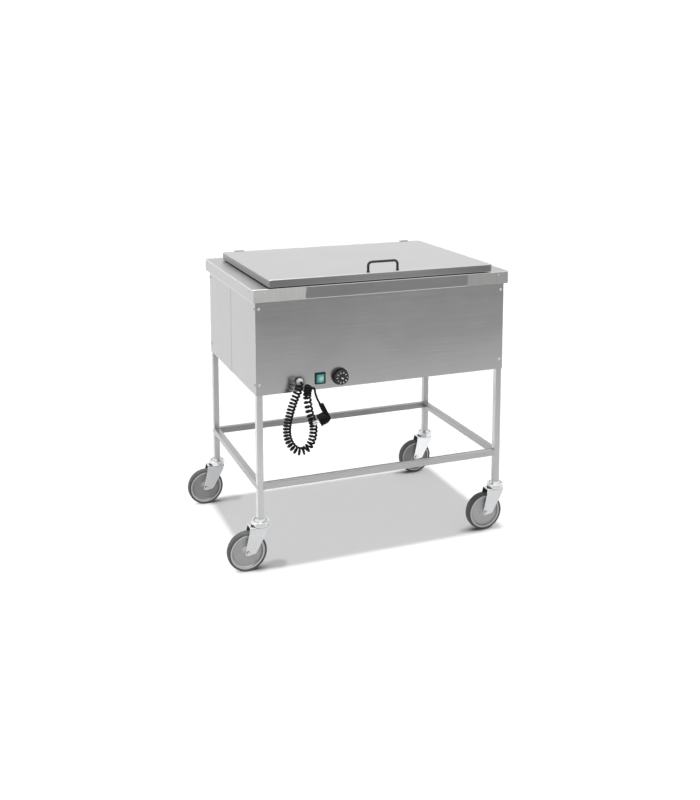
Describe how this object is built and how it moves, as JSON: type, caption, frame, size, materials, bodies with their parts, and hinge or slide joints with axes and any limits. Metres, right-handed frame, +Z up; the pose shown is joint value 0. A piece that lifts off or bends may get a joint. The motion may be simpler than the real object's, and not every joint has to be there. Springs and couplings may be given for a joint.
{
  "type": "hostess trolley",
  "caption": "Heated food trolley: steel body with a well under a hinged lid, square tube legs with stretchers, swivel casters, thermostat, switch and curly mains lead.",
  "frame": {"origin": "on the floor, under the middle of the box that bounds the trolley with its wheels trailing to the left, without the mains lead", "axes": "+Z up from the floor, +X to the right along the front, +Y from the control panel towards the rear hinges"},
  "size_m": [0.9625, 0.6738, 0.948],
  "materials": {
    "bolt_steel": "bright steel fixings",
    "buffer_rubber": "black rubber",
    "cord_black": "black rubber cord",
    "element": "dull heating element sheath",
    "gland_grey": "light grey nylon",
    "handle_black": "black coated bar",
    "knob_black": "black moulded knob with plain white numbers",
    "lens_green": "translucent green rocker",
    "plug_black": "black moulded rubber plug",
    "stainless": "brushed stainless steel, fine horizontal grain",
    "switch_black": "black glossy switch frame",
    "tank_steel": "satin stainless steel, deep drawn",
    "thermostat_case": "moulded insulating case",
    "tube_steel": "brushed stainless steel tube, grain along the tube",
    "tyre_grey": "dark grey non-marking rubber tyre",
    "wheel_grey": "grey nylon wheel disc",
    "zinc": "bright zinc-plated pressed steel"
  },
  "bodies": {
    "trolley": {"leg_front_left": "tube_steel", "leg_front_right": "tube_steel", "leg_rear_left": "tube_steel", "leg_rear_right": "tube_steel", "leg_inserts": "bolt_steel", "stretcher_front": "tube_steel", "stretcher_rear": "tube_steel", "stretcher_left": "tube_steel", "stretcher_right": "tube_steel", "stretcher_bolts": "bolt_steel", "top_frame": "stainless", "front_panel": "stainless", "rear_panel": "stainless", "left_panel_front": "stainless", "left_panel_rear": "stainless", "right_panel_front": "stainless", "right_panel_rear": "stainless", "bottom_panel": "stainless", "panel_screws": "bolt_steel", "well_tank": "tank_steel", "heating_element": "element", "thermostat_body": "thermostat_case", "switch_bezel": "switch_black", "cable_gland": "gland_grey", "gland_locknut": "gland_grey", "hinge_brackets": "stainless", "hinge_pins": "bolt_steel", "cord_coil": "cord_black", "cord_tail": "cord_black", "plug": "plug_black", "plug_pins": "bolt_steel", "caster_head_fl": "zinc", "caster_head_fr": "zinc", "caster_head_rl": "zinc", "caster_head_rr": "zinc"},
    "lid": {"lid": "stainless", "lid_handle": "handle_black", "handle_screws": "bolt_steel", "hinge_leaves": "stainless", "lid_buffers": "buffer_rubber"},
    "rocker": {"switch_rocker": "lens_green"},
    "knob": {"control_knob": "knob_black", "thermostat_spindle": "bolt_steel"},
    "caster_fl": {"fork_fl": "zinc", "axle_fl": "zinc"},
    "wheel_fl": {"wheel_fl": "wheel_grey", "tyre_fl": "tyre_grey"},
    "caster_fr": {"fork_fr": "zinc", "axle_fr": "zinc"},
    "wheel_fr": {"wheel_fr": "wheel_grey", "tyre_fr": "tyre_grey"},
    "caster_rl": {"fork_rl": "zinc", "axle_rl": "zinc"},
    "wheel_rl": {"wheel_rl": "wheel_grey", "tyre_rl": "tyre_grey"},
    "caster_rr": {"fork_rr": "zinc", "axle_rr": "zinc"},
    "wheel_rr": {"wheel_rr": "wheel_grey", "tyre_rr": "tyre_grey"}
  },
  "joints": [
    {"name": "lid_hinge", "type": "hinge", "parent": "trolley", "child": "lid", "pos_m": [0.03375, 0.2641, 0.912], "axis": [-1, 0, 0], "range_deg": [0, 100]},
    {"name": "rocker_pivot", "type": "hinge", "parent": "trolley", "child": "rocker", "pos_m": [-0.17825, -0.2789, 0.59], "axis": [-1, 0, 0], "range_deg": [0, 12]},
    {"name": "knob_turn", "type": "hinge", "parent": "trolley", "child": "knob", "pos_m": [-0.11325, -0.2819, 0.59], "axis": [0, 1, 0], "range_deg": [0, 270]},
    {"name": "swivel_fl", "type": "hinge", "parent": "trolley", "child": "caster_fl", "pos_m": [-0.37305, -0.2707, 0.142], "axis": [0, 0, 1], "continuous": true},
    {"name": "roll_fl", "type": "hinge", "parent": "caster_fl", "child": "wheel_fl", "pos_m": [-0.41705, -0.2707, 0.0625], "axis": [0, 1, 0], "continuous": true},
    {"name": "swivel_fr", "type": "hinge", "parent": "trolley", "child": "caster_fr", "pos_m": [0.45455, -0.2707, 0.142], "axis": [0, 0, 1], "continuous": true},
    {"name": "roll_fr", "type": "hinge", "parent": "caster_fr", "child": "wheel_fr", "pos_m": [0.41055, -0.2707, 0.0625], "axis": [0, 1, 0], "continuous": true},
    {"name": "swivel_rl", "type": "hinge", "parent": "trolley", "child": "caster_rl", "pos_m": [-0.37305, 0.2809, 0.142], "axis": [0, 0, 1], "continuous": true},
    {"name": "roll_rl", "type": "hinge", "parent": "caster_rl", "child": "wheel_rl", "pos_m": [-0.41705, 0.2809, 0.0625], "axis": [0, 1, 0], "continuous": true},
    {"name": "swivel_rr", "type": "hinge", "parent": "trolley", "child": "caster_rr", "pos_m": [0.45455, 0.2809, 0.142], "axis": [0, 0, 1], "continuous": true},
    {"name": "roll_rr", "type": "hinge", "parent": "caster_rr", "child": "wheel_rr", "pos_m": [0.41055, 0.2809, 0.0625], "axis": [0, 1, 0], "continuous": true}
  ]
}
